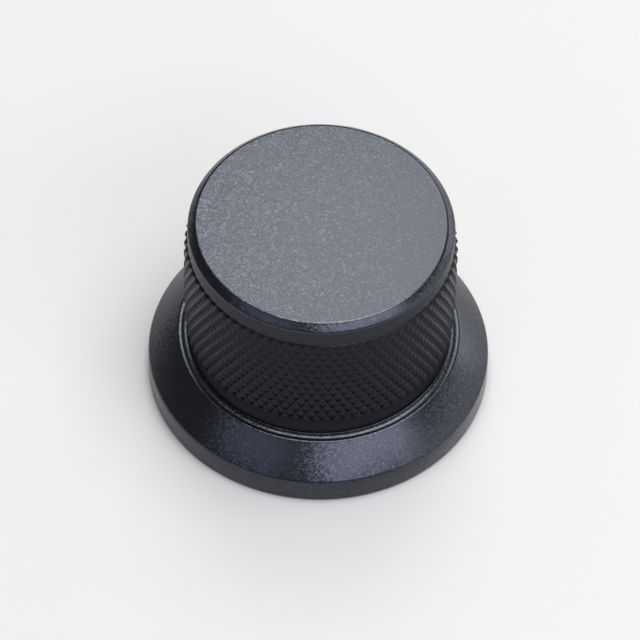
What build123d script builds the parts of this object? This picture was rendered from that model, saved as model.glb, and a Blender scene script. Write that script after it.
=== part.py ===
from build123d import *
import math
import os

# Control knob: a diamond-knurled grip on a conical skirt, turned from one bar of aluminium, with a
# blind bore for the shaft and a socket set screw. Millimetres, +Z up, origin at the base's centre.

# Overall sizes
overall_height = 25.0
skirt_diameter = 37.5
grip_diameter = 29.8

# Skirt
rim_height = 3.05
skirt_slope = 45.0
rim_edge_radius = 0.25
base_edge_chamfer = 0.2

# Ledge on top of the skirt, with a broken edge and a fine step outside it
ledge_width = 0.65
ledge_edge_chamfer = 0.12
step_width = 0.35
step_rise = 0.18

# Smooth neck under the grip and smooth land over it, both turned just below the knurl's grooves
neck_relief = 0.05
neck_height = 2.4
neck_fillet = 0.35
land_relief = 0.05
land_height = 3.0
top_chamfer = 0.8

# Diamond knurl on the grip
knurl_depth = 0.36
knurl_pitch = 1.0
knurl_angle = 30.0
knurl_end_angle = 45.0

# Bore for the control's shaft, and the recess that clears its panel nut and bush
shaft_diameter = 6.0
shaft_clearance = 0.03
top_wall = 3.2
drill_point_angle = 118.0
bore_mouth_chamfer = 0.5
recess_diameter = 20.0
recess_depth = 5.0
recess_mouth_chamfer = 0.4

# Set screw in the back of the grip
screw_diameter = 3.0
screw_length = 8.0
screw_clearance = 0.04
screw_rise = 4.2
screw_tip_gap = 0.25
screw_tip_chamfer = 0.6
screw_head_chamfer = 0.2
socket_across_flats = 1.5
socket_depth = 1.8

# Radii that follow
skirt_radius = skirt_diameter / 2
grip_radius = grip_diameter / 2
groove_radius = grip_radius - knurl_depth
core_radius = groove_radius - knurl_depth
neck_radius = groove_radius - neck_relief
land_radius = groove_radius - land_relief
ledge_radius = neck_radius + ledge_width
cone_top_radius = ledge_radius + step_width
recess_radius = recess_diameter / 2
bore_radius = shaft_diameter / 2 + shaft_clearance
screw_radius = screw_diameter / 2

# Heights that follow
cone_width = skirt_radius - cone_top_radius
cone_top_z = rim_height + cone_width * math.tan(math.radians(skirt_slope))
ledge_z = cone_top_z + step_rise
grip_bottom_z = ledge_z + neck_height
grip_top_z = overall_height - land_height
screw_z = grip_bottom_z + screw_rise
drill_point_height = bore_radius / math.tan(math.radians(drill_point_angle / 2))
bore_end_z = overall_height - top_wall - drill_point_height

# The knurl's lattice: whole diamonds around the grip, and whole half-diamonds along it
knurl_radius = grip_radius - knurl_depth / 2
knurl_columns = round(2 * math.pi * knurl_radius * math.cos(math.radians(knurl_angle)) / knurl_pitch)
half_diamond_width = math.pi * knurl_radius / knurl_columns
half_diamond_height = half_diamond_width / math.tan(math.radians(knurl_angle))
knurl_rows = round((grip_top_z - grip_bottom_z) / half_diamond_height)
row_height = (grip_top_z - grip_bottom_z) / knurl_rows

# A crest that falls on an end of the grip is cut back by the end's chamfer to this depth and inset
ridge_slope = knurl_depth / row_height
end_slope = math.tan(math.radians(knurl_end_angle))
end_inset = knurl_depth / (end_slope + ridge_slope)
end_radius = groove_radius + end_inset * end_slope


def knurl_point(row, step):
    """A point of the lattice, where crests and groove crossings take turns up and around the grip."""
    radius = grip_radius if (row + step) % 2 == 0 else groove_radius
    z = grip_bottom_z + row * row_height
    if radius == grip_radius and row in (0, knurl_rows):
        radius = end_radius
        z += end_inset if row == 0 else -end_inset
    angle = math.pi * step / knurl_columns
    return Vector(radius * math.cos(angle), radius * math.sin(angle), z)


def end_point(row, step):
    """A point of the plain ring that the grooves run out to at an end of the grip."""
    angle = math.pi * step / knurl_columns
    z = grip_bottom_z + row * row_height
    return Vector(groove_radius * math.cos(angle), groove_radius * math.sin(angle), z)


def flat_face(*points):
    """The flat face with these corners."""
    return Face(Wire.make_polygon(points))


def knurled_grip():
    """The grip as a closed solid: two sets of crossing grooves leave pyramids with flat flanks."""
    steps = range(2 * knurl_columns)
    faces = []
    for row in (0, knurl_rows):
        faces.append(flat_face(*[end_point(row, step) for step in steps]))
        for step in steps:
            if (row + step) % 2 == 0:
                crest = knurl_point(row, step)
                faces.append(flat_face(crest, end_point(row, step), end_point(row, step - 1)))
                faces.append(flat_face(crest, end_point(row, step + 1), end_point(row, step)))
    for row in range(knurl_rows):
        for step in steps:
            corners = [(row, step), (row, step + 1), (row + 1, step + 1), (row + 1, step)]
            if (row + step) % 2:
                corners = corners[1:] + corners[:1]
            near_crest, groove, far_crest, next_groove = [knurl_point(*corner) for corner in corners]
            faces.append(flat_face(near_crest, groove, next_groove))
            faces.append(flat_face(far_crest, next_groove, groove))
    return Solid(Shell(faces))


def circle_edges(part, radius, height):
    """The circular edges of a turned part at one radius and height."""
    circles = part.edges().filter_by(GeomType.CIRCLE)
    at_height = circles.filter_by(lambda edge: abs(edge.arc_center.Z - height) < 1e-3)
    return at_height.filter_by(lambda edge: abs(edge.radius - radius) < 1e-3)


grip = knurled_grip()

# Knob body: the turned outline with the knurled grip round its core, and then the holes
with BuildPart() as knob_body:
    with BuildSketch(Plane.XZ):
        with BuildLine():
            Polyline(
                (0, 0),
                (skirt_radius, 0),
                (skirt_radius, rim_height),
                (cone_top_radius, cone_top_z),
                (ledge_radius, cone_top_z),
                (ledge_radius, ledge_z),
                (neck_radius, ledge_z),
                (neck_radius, grip_bottom_z),
                (core_radius, grip_bottom_z),
                (core_radius, grip_top_z),
                (land_radius, grip_top_z),
                (land_radius, overall_height),
                (0, overall_height),
                close=True,
            )
        make_face()
    revolve(axis=Axis.Z)
    fillet(circle_edges(knob_body.part, skirt_radius, rim_height), min(rim_edge_radius, cone_width / 2))
    fillet(circle_edges(knob_body.part, neck_radius, ledge_z), neck_fillet)
    chamfer(circle_edges(knob_body.part, ledge_radius, ledge_z), ledge_edge_chamfer)
    chamfer(circle_edges(knob_body.part, skirt_radius, 0), base_edge_chamfer)
    chamfer(circle_edges(knob_body.part, land_radius, overall_height), top_chamfer)
    add(grip)

    # Recess and blind bore, drilled from below, with the drill's point at the end
    with Locations(Plane(origin=(0, 0, 0), z_dir=(0, 0, -1))):
        CounterBoreHole(bore_radius, recess_radius, recess_depth, bore_end_z)
    with Locations((0, 0, bore_end_z)):
        Cone(
            bore_radius,
            0,
            drill_point_height,
            align=(Align.CENTER, Align.CENTER, Align.MIN),
            mode=Mode.SUBTRACT,
        )
    chamfer(circle_edges(knob_body.part, recess_radius, 0), recess_mouth_chamfer)
    chamfer(circle_edges(knob_body.part, bore_radius, recess_depth), bore_mouth_chamfer)

    # Tapped hole for the set screw, from the back of the grip into the bore
    with Locations(Plane(origin=(0, grip_radius, screw_z), z_dir=(0, 1, 0))):
        Hole(screw_radius + screw_clearance, grip_radius)
knob_body.part.label = "knob_body"

# Set screw: chamfered tip towards the shaft, hexagon socket towards the back
screw_tip_y = bore_radius + screw_tip_gap
screw_head_y = screw_tip_y + screw_length
with BuildPart() as set_screw:
    with BuildSketch(Plane(origin=(0, screw_tip_y, screw_z), z_dir=(0, 1, 0))):
        Circle(screw_radius)
    extrude(amount=screw_length)
    chamfer(set_screw.edges().group_by(Axis.Y)[0], screw_tip_chamfer)
    chamfer(set_screw.edges().group_by(Axis.Y)[-1], screw_head_chamfer)
    with BuildSketch(Plane(origin=(0, screw_head_y, screw_z), z_dir=(0, 1, 0))):
        RegularPolygon(socket_across_flats / 2, 6, major_radius=False)
    extrude(amount=-socket_depth, mode=Mode.SUBTRACT)
set_screw.part.label = "set_screw"

os.makedirs("parts", exist_ok=True)
export_step(knob_body.part, "parts/knob_body.step")
export_step(set_screw.part, "parts/set_screw.step")
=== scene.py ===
"""Control knob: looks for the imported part, laid out as an add-on and run as a script."""

import math

import bmesh
import bpy
from bpy.props import FloatProperty, FloatVectorProperty, IntProperty, PointerProperty
from bpy.types import Operator, Panel, PropertyGroup
from mathutils import Matrix, Vector


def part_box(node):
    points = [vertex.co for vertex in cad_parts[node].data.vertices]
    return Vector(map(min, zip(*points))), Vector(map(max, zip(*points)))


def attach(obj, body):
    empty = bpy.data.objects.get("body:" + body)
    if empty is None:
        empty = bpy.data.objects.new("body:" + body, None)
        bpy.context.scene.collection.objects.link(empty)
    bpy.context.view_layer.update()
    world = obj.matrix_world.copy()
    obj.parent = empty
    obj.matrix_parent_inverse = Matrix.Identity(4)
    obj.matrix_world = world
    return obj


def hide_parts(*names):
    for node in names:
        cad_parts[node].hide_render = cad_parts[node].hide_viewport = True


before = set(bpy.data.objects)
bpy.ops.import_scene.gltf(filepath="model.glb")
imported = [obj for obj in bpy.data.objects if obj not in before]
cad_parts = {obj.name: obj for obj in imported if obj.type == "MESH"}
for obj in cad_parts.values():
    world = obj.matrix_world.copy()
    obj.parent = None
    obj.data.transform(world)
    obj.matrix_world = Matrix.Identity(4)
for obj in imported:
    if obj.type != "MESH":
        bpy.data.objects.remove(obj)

bl_info = {
    "name": "Control Knob",
    "version": (1, 0, 0),
    "blender": (4, 5, 0),
    "location": "3D View > Sidebar > Knob",
    "description": "Adds a knurled control knob, its set screw and a plain studio",
    "category": "Add Mesh",
}

MM = 0.001
BODY = "root"
AXIS_POINT = (0.0, 0.0, 0.0)
body_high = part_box("knob_body")[1]
screw_low, screw_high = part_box("set_screw")
screw_z = (screw_low.z + screw_high.z) / 2

# Modelling
DRILL_HALF_ANGLE = math.radians(59)
EDGE_STEPS = 4
FINE_EDGE_STEPS = 2
CREASE_ANGLE = math.radians(15)
BODY_SMOOTH_ANGLE = math.radians(40)
SCREW_SMOOTH_ANGLE = math.radians(30)
SAME_PLACE = 0.002 * MM
ROW_MARGIN = 0.01
WELD_DISTANCE = 0.0001 * MM
BLANK_SIDES = 48
THREAD_STEPS = 40
HEXAGON = 6
CREST, GROOVE = 0, 1
TURNED_SLOT, LAND_SLOT = 1, 2

# Finishes
DIMPLE_DARK = 0.88
DIMPLE_LIGHT = 1.08
DULL_SHARE = 0.85
GRAZING_TINT = (0.7, 0.7, 0.72, 1.0)

# Studio
PIVOT_Z = 11.25 * MM
FOCAL_PIXELS = 6854.7
AIM_RIGHT_PIXELS = 0.9
AIM_DOWN_PIXELS = 18.5
SENSOR_WIDTH = 36.0
LAMP_DISTANCE = 1.2
FLOOR_SIZE = 3.0
FLOOR_GAP = 0.02 * MM
SURROUND = (0.15, 0.15, 0.15, 1.0)
WHITE = (1.0, 1.0, 1.0)
COOL = (0.98, 0.96, 1.13)
MAUVE = (0.9, 0.9, 1.25)


def length(name, default, description):
    """A length property in metres, shown in the scene's units."""
    return FloatProperty(
        name=name, description=description, default=default, min=0.0, unit="LENGTH", precision=6
    )


def tint(name, default, description):
    """A colour property, from its red, green and blue."""
    return FloatVectorProperty(
        name=name, description=description, default=(*default, 1.0),
        subtype="COLOR", size=4, min=0.0, max=1.0,
    )


class KnobSizes(PropertyGroup):
    """Sizes of the turned body. The overall ones come from the frame."""

    height: length("Height", body_high.z, "Overall height of the knob")
    skirt_radius: length("Skirt radius", body_high.x, "Radius of the rim")
    rim_height: length("Rim height", 3.05 * MM, "Upright rim under the cone")
    rim_edge: length("Rim edge", 0.25 * MM, "Rounding between the rim and the cone")
    base_edge: length("Base edge", 0.2 * MM, "Chamfer round the base")
    crest_radius: length("Crest radius", 14.9 * MM, "Radius over the knurl's crests")
    knurl_depth: length("Knurl depth", 0.36 * MM, "Depth of the knurl's grooves")
    relief: length("Relief", 0.05 * MM, "How far the neck and the land lie below the grooves")
    ledge_width: length("Ledge width", 0.65 * MM, "Flat ledge round the neck")
    step_width: length("Step width", 0.35 * MM, "Fine flat outside the ledge")
    step_rise: length("Step rise", 0.18 * MM, "Height of the ledge's fine step")
    neck_height: length("Neck height", 2.4 * MM, "Smooth neck under the knurl")
    land_height: length("Land height", 3.0 * MM, "Smooth land over the knurl")
    top_chamfer: length("Top chamfer", 0.8 * MM, "Chamfer round the top face")
    bore_radius: length("Bore radius", 3.03 * MM, "Blind bore for the shaft")
    top_wall: length("Top wall", 3.2 * MM, "Metal left over the bore")
    bore_chamfer: length("Bore chamfer", 0.5 * MM, "Chamfer at the bore's mouth")
    recess_radius: length("Recess radius", 10.0 * MM, "Recess that clears the panel nut")
    recess_depth: length("Recess depth", 5.0 * MM, "Depth of that recess")
    recess_chamfer: length("Recess chamfer", 0.4 * MM, "Chamfer at the recess's mouth")
    lip_width: length("Lip width", 0.36 * MM, "Outer part of the ledge that falls away")
    lip_drop: length("Lip drop", 0.13 * MM, "How far the lip falls before the step")
    lip_round: length("Lip round", 0.16 * MM, "Rounding along the lip's inner side")
    cone_edge: length("Cone edge", 0.14 * MM, "Rounding between the step and the cone")
    top_edge: length("Top edge", 0.18 * MM, "Rounding between the top face and its chamfer")
    land_edge: length("Land edge", 0.18 * MM, "Rounding between the land and the top chamfer")
    edge_break: length("Edge break", 0.06 * MM, "Rounding of the other turned edges")
    crest_break: length("Crest break", 0.1 * MM, "Most rounding of the knurl's ridges and grooves")
    columns: IntProperty(name="Columns", description="Diamonds round the grip", default=80, min=8)
    rows: IntProperty(name="Rows", description="Half-diamonds along the grip", default=13, min=2)


class ScrewSizes(PropertyGroup):
    """Sizes of the set screw and its tapped hole. The place comes from the frame."""

    major_radius: length("Major radius", screw_high.x, "Radius over the screw's threads")
    thread_depth: length("Thread depth", 0.27 * MM, "Height of a thread")
    pitch: length("Pitch", 0.5 * MM, "Distance from thread to thread")
    clearance: length("Clearance", 0.04 * MM, "Gap between the screw and its tapped hole")
    tip_chamfer: length("Tip chamfer", 0.6 * MM, "Chamfer of the end that meets the shaft")
    head_chamfer: length("Head chamfer", 0.2 * MM, "Chamfer of the end with the socket")
    mouth_chamfer: length("Mouth chamfer", 0.15 * MM, "Chamfer round the tapped hole at the grooves")
    socket_width: length("Socket width", 1.5 * MM, "Across the flats of the hexagon socket")
    socket_depth: length("Socket depth", 1.8 * MM, "Depth of the socket's flats")


class KnobFinish(PropertyGroup):
    """Colours and grain of the finishes."""

    anodise: tint("Anodise", (0.056, 0.0615, 0.0715), "Black anodised aluminium, as blasting leaves it")
    glint: tint("Glint", (0.088, 0.095, 0.11), "The few brightest dimples")
    turned: tint("Turned", (0.023, 0.025, 0.029), "Black anodised aluminium on the knurl and inside")
    # The land's colour is the turned finish painted lighter: a painted lit tone on the smooth land, beside
    # the darker knurl.
    land: tint("Land", (0.036, 0.039, 0.0445), "Black anodised aluminium on the smooth land")
    steel: tint("Steel", (0.09, 0.09, 0.095), "Blackened steel of the set screw")
    grain: length("Grain", 0.16 * MM, "Size of the dimples that the blasting leaves")
    grain_tilt: FloatProperty(
        name="Grain tilt", description="How far the dimples tilt the surface", default=0.1, min=0.0
    )


class KnobStudio(PropertyGroup):
    """Camera and floor."""

    elevation: FloatProperty(
        name="Elevation", description="Camera's height over the horizon",
        default=math.radians(52.04), subtype="ANGLE",
    )
    roll: FloatProperty(
        name="Roll", description="Camera's turn about its own axis",
        default=math.radians(-1.49), subtype="ANGLE",
    )
    distance: length("Distance", 0.75, "From the camera to the point it circles")
    focal_mm: FloatProperty(name="Focal length", description="In millimetres", default=385.6)
    floor_colour: tint("Floor", (0.58, 0.58, 0.573), "Plain pale floor")


def settings():
    """The four groups of properties, as they stand in this scene."""
    scene = bpy.context.scene
    return scene.knob_sizes, scene.screw_sizes, scene.knob_finish, scene.knob_studio


def start_clean():
    """Leaves edit mode and deselects everything, so that an operator acts on new work only."""
    if bpy.context.mode != "OBJECT":
        bpy.ops.object.mode_set(mode="OBJECT")
    bpy.ops.object.select_all(action="DESELECT")


def take_up(piece):
    """Makes one piece the active and only selected one."""
    start_clean()
    piece.select_set(True)
    bpy.context.view_layer.objects.active = piece


def unselected_mesh():
    """The mesh in edit mode, with nothing selected."""
    mesh = bmesh.from_edit_mesh(bpy.context.object.data)
    for part in (*mesh.faces, *mesh.edges, *mesh.verts):
        part.select = False
    return mesh


def select_vertices(test):
    """In edit mode, selects just the vertices whose places pass a test."""
    bpy.context.tool_settings.mesh_select_mode = (True, False, False)
    mesh = unselected_mesh()
    for vertex in mesh.verts:
        vertex.select = test(vertex.co)
    mesh.select_flush(True)
    bmesh.update_edit_mesh(bpy.context.object.data)


def select_edges(test):
    """In edit mode, selects just the edges that pass a test."""
    bpy.context.tool_settings.mesh_select_mode = (False, True, False)
    mesh = unselected_mesh()
    for edge in mesh.edges:
        if test(edge):
            edge.select = True
    mesh.select_flush_mode()
    bmesh.update_edit_mesh(bpy.context.object.data)


def paint_faces(slot_index, test):
    """In edit mode, gives the faces whose centres pass a test the material of one slot."""
    bpy.context.tool_settings.mesh_select_mode = (False, False, True)
    mesh = unselected_mesh()
    for face in mesh.faces:
        face.select = test(face.calc_center_median())
    mesh.select_flush_mode()
    bmesh.update_edit_mesh(bpy.context.object.data)
    bpy.context.object.active_material_index = slot_index
    bpy.ops.object.material_slot_assign()


def near(value, target, margin=SAME_PLACE):
    """Whether two lengths are the same, within a margin."""
    return abs(value - target) < margin


def turn_rings(name, rings, segments):
    """Turns an open shell through (radius, z) rings in their order, and stays in edit mode."""
    start_clean()
    radius, z = rings[0]
    bpy.ops.mesh.primitive_circle_add(vertices=segments, radius=radius, location=(0, 0, z))
    bpy.ops.object.transform_apply(location=True, rotation=True, scale=True)
    bpy.context.object.name = bpy.context.object.data.name = name
    bpy.ops.object.mode_set(mode="EDIT")
    bpy.ops.mesh.select_all(action="SELECT")
    for next_radius, next_z in rings[1:]:
        bpy.ops.mesh.extrude_region_move(TRANSFORM_OT_translate={"value": (0, 0, next_z - z)})
        scale_round_axis(next_radius / radius)
        radius, z = next_radius, next_z
    return bpy.context.object


def scale_round_axis(ratio):
    """In edit mode, moves what is selected away from the knob's axis by a ratio."""
    bpy.ops.transform.resize(value=(ratio, ratio, 1), center_override=AXIS_POINT)


def round_ring(radius, z, width, segments):
    """Rounds the ring of edges at one radius and height."""
    def on_ring(edge):
        return all(near(v.co.z, z) and near(v.co.xy.length, radius) for v in edge.verts)

    select_edges(on_ring)
    bpy.ops.mesh.bevel(offset=width, offset_type="OFFSET", segments=segments, profile=0.5)


def combine(piece, tool, operation):
    """Cuts or trims a piece with another solid, which is used up."""
    take_up(piece)
    bpy.ops.object.modifier_add(type="BOOLEAN")
    modifier = piece.modifiers[-1]
    modifier.operation = operation
    modifier.solver = "EXACT"
    modifier.object = tool
    bpy.ops.object.modifier_apply(modifier=modifier.name)
    bpy.data.objects.remove(tool)


def finish_piece(piece, node_name, smooth_angle):
    """Shades a piece and hands it to the frame in place of its node."""
    take_up(piece)
    bpy.ops.object.shade_smooth_by_angle(angle=smooth_angle)
    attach(piece, BODY)
    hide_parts(node_name)


def drill_point(sizes):
    """How far the drill's point goes past the bore's straight end."""
    return sizes.bore_radius / math.tan(DRILL_HALF_ANGLE)


def body_rings(sizes):
    """The body's (radius, z) rings, in order from the bore's end round the outside to the top.

    The rings below and above the grip have names. The grip's own run evenly from its foot up.
    """
    groove = sizes.crest_radius - sizes.knurl_depth
    neck = groove - sizes.relief
    ledge = neck + sizes.ledge_width
    cone_top = ledge + sizes.step_width
    cone_top_z = sizes.rim_height + sizes.skirt_radius - cone_top
    ledge_z = cone_top_z + sizes.step_rise
    grip_low = ledge_z + sizes.neck_height
    grip_high = sizes.height - sizes.land_height
    row = (grip_high - grip_low) / sizes.rows
    below = {
        "bore_end": (sizes.bore_radius, sizes.height - sizes.top_wall - drill_point(sizes)),
        "bore_chamfer": (sizes.bore_radius, sizes.recess_depth + sizes.bore_chamfer),
        "bore_mouth": (sizes.bore_radius + sizes.bore_chamfer, sizes.recess_depth),
        "recess_end": (sizes.recess_radius, sizes.recess_depth),
        "recess_chamfer": (sizes.recess_radius, sizes.recess_chamfer),
        "recess_mouth": (sizes.recess_radius + sizes.recess_chamfer, 0.0),
        "base": (sizes.skirt_radius - sizes.base_edge, 0.0),
        "rim_foot": (sizes.skirt_radius, sizes.base_edge),
        "rim_top": (sizes.skirt_radius, sizes.rim_height),
        "cone_top": (cone_top, cone_top_z),
        "step_foot": (ledge, cone_top_z),
        "lip_outside": (ledge, ledge_z - sizes.lip_drop),
        "lip_inside": (ledge - sizes.lip_width, ledge_z),
        "neck_foot": (neck, ledge_z),
        "neck_top": (neck, grip_low - sizes.relief),
    }
    grip = [(groove, grip_low + index * row) for index in range(sizes.rows + 1)]
    above = {
        "land_foot": (neck, grip_high + sizes.relief),
        "land_top": (neck, sizes.height - sizes.top_chamfer),
        "top_face": (neck - sizes.top_chamfer, sizes.height),
    }
    return below, grip, above


def knurl(sizes, grip):
    """Raises the crests between the grooves, and cuts the end ones back to a 45 degree chamfer."""
    groove, grip_low = grip[0]
    grip_high = grip[-1][1]
    row_height = grip[1][1] - grip_low

    def is_kind(co, kind):
        """Whether a vertex still on the grip's rings is to be a crest, or a groove's crossing."""
        row = (co.z - grip_low) / row_height
        on_row = abs(row - round(row)) < ROW_MARGIN and 0 <= round(row) <= sizes.rows
        if not on_row or not near(co.xy.length, groove, sizes.relief / 2):
            return False
        step = math.atan2(co.y, co.x) * sizes.columns / math.pi
        return (round(row) + round(step)) % 2 == kind

    def is_ridge(edge):
        """Whether an edge of the finished knurl is sharp enough to be rounded."""
        middle = (edge.verts[0].co + edge.verts[1].co) / 2
        on_grip = (
            grip_low - sizes.relief < middle.z < grip_high + sizes.relief
            and middle.xy.length > groove - sizes.relief / 2
        )
        return on_grip and len(edge.link_faces) == 2 and edge.calc_face_angle() > CREASE_ANGLE

    select_vertices(lambda co: is_kind(co, GROOVE))
    bpy.ops.mesh.vert_connect()
    inset = sizes.knurl_depth / (1 + sizes.knurl_depth / row_height)
    for end_z, shift in ((grip_low, inset), (grip_high, -inset)):
        select_vertices(lambda co, end_z=end_z: is_kind(co, CREST) and near(co.z, end_z))
        scale_round_axis((groove + inset) / groove)
        bpy.ops.transform.translate(value=(0, 0, shift))
    select_vertices(lambda co: is_kind(co, CREST))
    scale_round_axis(sizes.crest_radius / groove)

    select_edges(is_ridge)
    bpy.ops.mesh.bevel(
        offset=sizes.crest_break, offset_type="OFFSET", segments=FINE_EDGE_STEPS, profile=0.5,
        clamp_overlap=True,
    )


def close_ends(sizes, bore_end):
    """In edit mode, closes the top face, and the bore with its drilled point."""
    select_vertices(lambda co: near(co.z, sizes.height))
    bpy.ops.mesh.edge_face_add()
    select_vertices(lambda co: near(co.z, bore_end))
    bpy.ops.mesh.extrude_region_move(TRANSFORM_OT_translate={"value": (0, 0, drill_point(sizes))})
    bpy.ops.mesh.merge(type="CENTER")


def round_edges(sizes, below, above):
    """In edit mode, rounds the turned edges."""
    rounded = (
        (below["rim_top"], sizes.rim_edge),
        (below["cone_top"], sizes.cone_edge),
        (below["lip_inside"], sizes.lip_round),
        (above["land_top"], sizes.land_edge),
        (above["top_face"], sizes.top_edge),
    )
    for ring, width in rounded:
        round_ring(*ring, width, EDGE_STEPS)
    outside = ("base", "rim_foot", "lip_outside", "neck_foot")
    inside = ("bore_mouth", "recess_end", "recess_chamfer", "recess_mouth")
    for name in outside + inside:
        round_ring(*below[name], sizes.edge_break, FINE_EDGE_STEPS)


def tap_hole(body, sizes, screw):
    """Cuts the threaded hole from the bore out through the grip, and chamfers its mouth."""
    hole_radius = screw.major_radius + screw.clearance
    hole_end = sizes.crest_radius + screw.pitch
    combine(body, threaded_rod("tapped_hole", hole_radius, screw, 0.0, hole_end), "DIFFERENCE")
    mouth_start = sizes.crest_radius - sizes.knurl_depth - screw.mouth_chamfer
    mouth_radius = hole_radius + hole_end - mouth_start
    mouth = plain_rod("hole_mouth", hole_radius, mouth_start, hole_end, THREAD_STEPS, mouth_radius)
    combine(body, mouth, "DIFFERENCE")


def paint_body(body, sizes, below, grip, above, finishes):
    """Gives the body its blasted finish all over, then the turned finish, then on the land a copy of the
    turned finish in a colour painted lighter.
    """
    for finish in finishes:
        body.data.materials.append(finish)
    grip_high = grip[-1][1]
    neck_low = below["neck_foot"][1] + sizes.edge_break
    land_high = above["land_top"][1] - sizes.land_edge
    land_inside = above["land_foot"][0] - sizes.relief
    recess_outside = below["recess_mouth"][0]

    def is_turned(co):
        """Whether a face is on the neck or the grip, or inside the knob, and so not blasted."""
        if co.z > neck_low:
            return co.z < land_high
        return co.xy.length < recess_outside

    def is_land(co):
        return grip_high < co.z < land_high and co.xy.length > land_inside

    take_up(body)
    bpy.ops.object.mode_set(mode="EDIT")
    paint_faces(TURNED_SLOT, is_turned)
    # The land's faces take the turned finish's copy whose colour is painted lighter.
    paint_faces(LAND_SLOT, is_land)


def make_body(sizes, screw, finishes):
    """The turned body: outline, closed ends, rounded edges, knurl, tapped hole and finishes."""
    below, grip, above = body_rings(sizes)
    rings = [*below.values(), *grip, *above.values()]
    body = turn_rings("knob_body_finish", rings, 2 * sizes.columns)
    close_ends(sizes, below["bore_end"][1])
    round_edges(sizes, below, above)
    knurl(sizes, grip)
    bpy.ops.mesh.select_all(action="SELECT")
    bpy.ops.mesh.normals_make_consistent(inside=False)
    tap_hole(body, sizes, screw)
    paint_body(body, sizes, below, grip, above, finishes)
    finish_piece(body, "knob_body", BODY_SMOOTH_ANGLE)


def screw_tooth(name, major_radius, screw):
    """The thread's tooth, an open V that points away from the Z axis."""
    start_clean()
    # A square on its corner, each corner 1 from its middle, loses its left corner to leave the V.
    bpy.ops.mesh.primitive_plane_add(size=math.sqrt(2), rotation=(0, 0, math.radians(-45)))
    bpy.ops.object.transform_apply(location=True, rotation=True, scale=True)
    tooth = bpy.context.object
    tooth.name = tooth.data.name = name
    bpy.ops.object.mode_set(mode="EDIT")
    select_vertices(lambda co: co.x < -0.5)
    bpy.ops.mesh.delete(type="VERT")
    bpy.ops.object.mode_set(mode="OBJECT")
    tooth.rotation_euler = (math.radians(90), 0, 0)
    tooth.scale = (screw.thread_depth, screw.pitch / 2, 1)
    tooth.location = (major_radius - screw.thread_depth, 0, screw.pitch / 2)
    bpy.ops.object.transform_apply(location=True, rotation=True, scale=True)
    return tooth


def threaded_rod(name, major_radius, screw, start_y, end_y):
    """A rod along +Y at the screw's height, threaded by sweeping one tooth round and along it."""
    rod = screw_tooth(name, major_radius, screw)
    spare_turns = 2
    bpy.ops.object.modifier_add(type="SCREW")
    sweep = rod.modifiers[-1]
    sweep.screw_offset = screw.pitch
    sweep.iterations = math.ceil((end_y - start_y) / screw.pitch) + spare_turns
    sweep.steps = sweep.render_steps = THREAD_STEPS
    bpy.ops.object.modifier_apply(modifier=sweep.name)

    # The ends are cut where the turns fall at the same places along Y in every rod.
    bpy.ops.object.mode_set(mode="EDIT")
    bpy.ops.mesh.select_all(action="SELECT")
    bpy.ops.mesh.remove_doubles(threshold=WELD_DISTANCE)
    first = screw.pitch + start_y % screw.pitch
    for z, side in ((first, -1), (first + end_y - start_y, 1)):
        bpy.ops.mesh.select_all(action="SELECT")
        bpy.ops.mesh.bisect(plane_co=(0, 0, z), plane_no=(0, 0, side), use_fill=True, clear_outer=True)
    bpy.ops.mesh.select_all(action="SELECT")
    bpy.ops.mesh.normals_make_consistent(inside=False)
    bpy.ops.object.mode_set(mode="OBJECT")
    rod.rotation_euler = (math.radians(-90), 0, 0)
    rod.location = (0, start_y - first, screw_z)
    bpy.ops.object.transform_apply(location=True, rotation=True, scale=True)
    return rod


def plain_rod(name, radius, start_y, end_y, sides, end_radius=None):
    """A round, hexagonal or tapered rod along +Y at the screw's height, still selected."""
    start_clean()
    bpy.ops.mesh.primitive_cone_add(
        vertices=sides, radius1=radius, radius2=end_radius or radius, depth=end_y - start_y,
        rotation=(math.radians(-90), 0, 0), location=(0, (start_y + end_y) / 2, screw_z),
    )
    bpy.ops.object.transform_apply(location=True, rotation=True, scale=True)
    rod = bpy.context.object
    rod.name = rod.data.name = name
    return rod


def screw_blank(screw):
    """A round blank with chamfered ends, a little wider than the thread that trims it."""
    spare = screw.pitch / 10
    blank = plain_rod(
        "set_screw_finish", screw.major_radius + spare, screw_low.y, screw_high.y, BLANK_SIDES
    )
    bpy.ops.object.mode_set(mode="EDIT")
    for end_y, width in ((screw_low.y, screw.tip_chamfer), (screw_high.y, screw.head_chamfer)):
        select_edges(lambda edge, end_y=end_y: all(near(v.co.y, end_y) for v in edge.verts))
        bpy.ops.mesh.bevel(offset=width + spare, offset_type="OFFSET", segments=1)
    bpy.ops.object.mode_set(mode="OBJECT")
    return blank


def socket_cutter(screw):
    """The hexagon socket as a solid, with the drilled point at its end."""
    corner_radius = screw.socket_width / math.sqrt(3)
    socket_end = screw_high.y - screw.socket_depth
    socket = plain_rod("socket", corner_radius, socket_end, screw_high.y + screw.pitch, HEXAGON)
    bpy.ops.object.mode_set(mode="EDIT")
    select_vertices(lambda co: co.y < screw_high.y)
    bpy.ops.mesh.extrude_region_move(TRANSFORM_OT_translate={"value": (0, -corner_radius / 2, 0)})
    bpy.ops.mesh.merge(type="CENTER")
    bpy.ops.object.mode_set(mode="OBJECT")
    return socket


def make_set_screw(screw, finish):
    """The set screw: a blank trimmed to its thread, with a hexagon socket."""
    piece = screw_blank(screw)
    thread_start = screw_low.y - screw.pitch
    thread_end = screw_high.y + screw.pitch
    thread = threaded_rod("screw_thread", screw.major_radius, screw, thread_start, thread_end)
    combine(piece, thread, "INTERSECT")
    combine(piece, socket_cutter(screw), "DIFFERENCE")
    piece.data.materials.clear()
    piece.data.materials.append(finish)
    finish_piece(piece, "set_screw", SCREW_SMOOTH_ANGLE)


def feed(tree, socket, value):
    """Sets a shader node's input to a value, or links it to another node's output."""
    if isinstance(value, bpy.types.NodeSocket):
        tree.links.new(value, socket)
    else:
        socket.default_value = value


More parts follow.
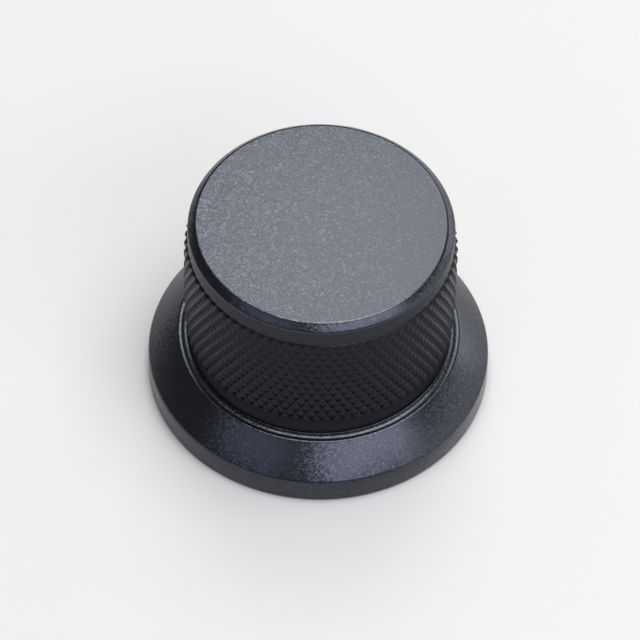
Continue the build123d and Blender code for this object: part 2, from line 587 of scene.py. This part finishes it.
def node(tree, kind, **inputs):
    """A shader node with its named inputs fed."""
    made = tree.nodes.new(kind)
    for name, value in inputs.items():
        feed(tree, made.inputs[name.replace("_", " ")], value)
    return made


def vector_math(tree, operation, *values):
    """The result of one vector operation on the values, in their order."""
    made = tree.nodes.new("ShaderNodeVectorMath")
    made.operation = operation
    for socket, value in zip(made.inputs, values):
        feed(tree, socket, value)
    return made.outputs["Vector"]


def new_material(name):
    """An empty node material and its tree."""
    material = bpy.data.materials.new(name)
    material.use_nodes = True
    material.node_tree.nodes.clear()
    return material, material.node_tree


def add_surface(tree, **inputs):
    """The material's surface, with its named inputs fed."""
    surface = node(tree, "ShaderNodeBsdfPrincipled", **inputs)
    output = tree.nodes.new("ShaderNodeOutputMaterial")
    tree.links.new(surface.outputs["BSDF"], output.inputs["Surface"])


def blasted_anodised(finish):
    """Bead-blasted, black-anodised aluminium: each dimple tilts the surface and so sparkles."""
    material, tree = new_material("blasted_black_anodised")
    place = node(tree, "ShaderNodeTexCoord").outputs["Object"]
    dimples = node(tree, "ShaderNodeTexVoronoi", Vector=place, Scale=1 / finish.grain).outputs["Color"]
    level = node(tree, "ShaderNodeNewGeometry").outputs["Normal"]
    centred = vector_math(tree, "SUBTRACT", dimples, (0.5, 0.5, 0.5))
    tilted = vector_math(tree, "MULTIPLY_ADD", centred, (finish.grain_tilt,) * 3, level)
    normal = vector_math(tree, "NORMALIZE", tilted)

    chance = node(tree, "ShaderNodeSeparateColor", Color=dimples).outputs["Red"]
    brightness = node(tree, "ShaderNodeValToRGB", Fac=chance)
    stops = brightness.color_ramp.elements
    stops[0].color = [DIMPLE_DARK * value for value in finish.anodise]
    stops[1].color = finish.glint
    stops.new(DULL_SHARE).color = [DIMPLE_LIGHT * value for value in finish.anodise]
    add_surface(tree, Base_Color=brightness.outputs["Color"], Metallic=1.0, Roughness=0.27, Normal=normal)
    return material


def turned_anodised(name, colour):
    """Turned, black-anodised aluminium: fine rings from the tool, and a duller surface."""
    material, tree = new_material(name)
    place = node(tree, "ShaderNodeTexCoord").outputs["Object"]
    rings = node(tree, "ShaderNodeTexWave", Vector=place, Scale=2600.0, Distortion=0.4)
    rings.wave_type = "RINGS"
    rings.rings_direction = "Z"
    bump = node(tree, "ShaderNodeBump", Strength=0.25, Distance=0.01 * MM, Height=rings.outputs["Fac"])
    add_surface(
        tree, Base_Color=colour, Metallic=1.0, Roughness=0.3, Specular_Tint=GRAZING_TINT,
        Normal=bump.outputs["Normal"],
    )
    return material


def black_steel(finish):
    """Black-oxide steel of the set screw, with a fine grain."""
    material, tree = new_material("black_oxide_steel")
    place = node(tree, "ShaderNodeTexCoord").outputs["Object"]
    grain = node(tree, "ShaderNodeTexNoise", Vector=place, Scale=6000.0, Detail=3.0)
    bump = node(tree, "ShaderNodeBump", Strength=0.3, Distance=0.02 * MM, Height=grain.outputs["Fac"])
    add_surface(tree, Base_Color=finish.steel, Metallic=1.0, Roughness=0.38, Normal=bump.outputs["Normal"])
    return material


def direction(azimuth, elevation):
    """Unit vector towards a place on the sky. Azimuth 0 is the camera's side, 90 is to its right."""
    across = math.radians(azimuth)
    up = math.radians(elevation)
    return Vector((math.sin(across) * math.cos(up), -math.cos(across) * math.cos(up), math.sin(up)))


def add_camera(studio):
    """The camera at the photograph's angle, aimed a little below the point that it circles."""
    back = direction(0, math.degrees(studio.elevation))
    right = Vector((1, 0, 0))
    up = back.cross(right)
    pixel = studio.distance / FOCAL_PIXELS
    aim = Vector((0, 0, PIVOT_Z)) + AIM_RIGHT_PIXELS * pixel * right - AIM_DOWN_PIXELS * pixel * up
    start_clean()
    bpy.ops.object.camera_add(location=aim + back * studio.distance)
    camera = bpy.context.object
    camera.name = "studio_camera"
    cosine = math.cos(studio.roll)
    sine = math.sin(studio.roll)
    axes = (right * cosine - up * sine, right * sine + up * cosine, back)
    camera.rotation_euler = Matrix(axes).transposed().to_euler()
    camera.data.lens = studio.focal_mm
    camera.data.sensor_width = SENSOR_WIDTH
    camera.data.clip_start = 0.01
    bpy.context.scene.camera = camera


def add_floor(studio):
    """A plain pale floor just under the knob."""
    start_clean()
    bpy.ops.mesh.primitive_plane_add(size=FLOOR_SIZE, location=(0, 0, -FLOOR_GAP))
    bpy.ops.object.transform_apply(location=True, rotation=True, scale=True)
    floor = bpy.context.object
    floor.name = "studio_floor"
    material, tree = new_material("pale_floor")
    add_surface(tree, Base_Color=studio.floor_colour, Roughness=0.7)
    floor.data.materials.append(material)


def add_world():
    """A plain grey surround."""
    world = bpy.data.worlds.new("studio_surround")
    bpy.context.scene.world = world
    world.use_nodes = True
    world.node_tree.nodes["Background"].inputs["Color"].default_value = SURROUND


def add_softbox(name, azimuth, elevation, width, height, radiance, colour=WHITE):
    """A soft rectangular lamp that faces the knob, given by its angles across and up and its radiance."""
    start_clean()
    place = direction(azimuth, elevation) * LAMP_DISTANCE
    bpy.ops.object.light_add(type="AREA", location=place)
    lamp = bpy.context.object
    lamp.name = name
    lamp.rotation_euler = place.to_track_quat("Z", "Y").to_euler()
    lamp.data.shape = "RECTANGLE"
    lamp.data.size = 2 * LAMP_DISTANCE * math.tan(math.radians(width / 2))
    lamp.data.size_y = 2 * LAMP_DISTANCE * math.tan(math.radians(height / 2))
    lamp.data.energy = radiance * math.pi * lamp.data.size * lamp.data.size_y
    lamp.data.color = colour


def add_softboxes():
    """The lamps, each named for where it stands."""
    add_softbox("back_softbox", azimuth=180, elevation=52, width=26, height=30, radiance=4.1)
    add_softbox("overhead_softbox", azimuth=92, elevation=82, width=36, height=46, radiance=5.8)
    add_softbox("window_softbox", azimuth=34, elevation=38, width=54, height=24, radiance=2.8, colour=COOL)
    add_softbox("side_softbox", azimuth=82, elevation=12, width=70, height=22, radiance=1.1)
    add_softbox("rear_softbox", azimuth=138, elevation=11, width=44, height=20, radiance=2.4)
    add_softbox("fill_softbox", azimuth=-42, elevation=35, width=38, height=20, radiance=0.8, colour=MAUVE)


class KNOB_OT_body(Operator):
    """Add the turned and knurled body of the knob"""

    bl_idname = "knob.body"
    bl_label = "Knob Body"

    def execute(self, context):
        sizes, screw, finish, _ = settings()
        blasted = blasted_anodised(finish)
        turned = turned_anodised("turned_black_anodised", finish.turned)
        # The land is the same turned finish with its colour painted lighter, as a painted lit tone beside
        # the knurl.
        land = turned_anodised("turned_anodised_painted_lighter", finish.land)
        make_body(sizes, screw, (blasted, turned, land))
        return {"FINISHED"}


class KNOB_OT_set_screw(Operator):
    """Add the set screw in the back of the grip"""

    bl_idname = "knob.set_screw"
    bl_label = "Set Screw"

    def execute(self, context):
        _, screw, finish, _ = settings()
        make_set_screw(screw, black_steel(finish))
        return {"FINISHED"}


class KNOB_OT_studio(Operator):
    """Add the floor, the lamps and the camera"""

    bl_idname = "knob.studio"
    bl_label = "Studio"

    def execute(self, context):
        *_, studio = settings()
        add_camera(studio)
        add_floor(studio)
        add_world()
        add_softboxes()
        context.scene.view_settings.view_transform = "Standard"
        return {"FINISHED"}


class KNOB_PT_panel(Panel):
    """Sidebar panel that lists the pieces, the studio and their settings"""

    bl_idname = "KNOB_PT_panel"
    bl_label = "Control Knob"
    bl_space_type = "VIEW_3D"
    bl_region_type = "UI"
    bl_category = "Knob"

    def draw(self, context):
        for operator in OPERATORS:
            self.layout.operator(operator.bl_idname)
        for group in settings():
            for name in group.__annotations__:
                self.layout.prop(group, name)


OPERATORS = (KNOB_OT_body, KNOB_OT_set_screw, KNOB_OT_studio)
GROUPS = {
    "knob_sizes": KnobSizes,
    "screw_sizes": ScrewSizes,
    "knob_finish": KnobFinish,
    "knob_studio": KnobStudio,
}
CLASSES = (*GROUPS.values(), *OPERATORS, KNOB_PT_panel)


def register():
    """Registers the classes and gives the scene its groups of properties."""
    for kind in CLASSES:
        bpy.utils.register_class(kind)
    for name, kind in GROUPS.items():
        setattr(bpy.types.Scene, name, PointerProperty(type=kind))


def unregister():
    """Takes back what register did."""
    for name in GROUPS:
        delattr(bpy.types.Scene, name)
    for kind in reversed(CLASSES):
        bpy.utils.unregister_class(kind)


def main():
    """Makes the pieces and the studio."""
    register()
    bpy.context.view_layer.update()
    bpy.ops.knob.body()
    bpy.ops.knob.set_screw()
    bpy.ops.knob.studio()


if __name__ == "__main__":
    main()
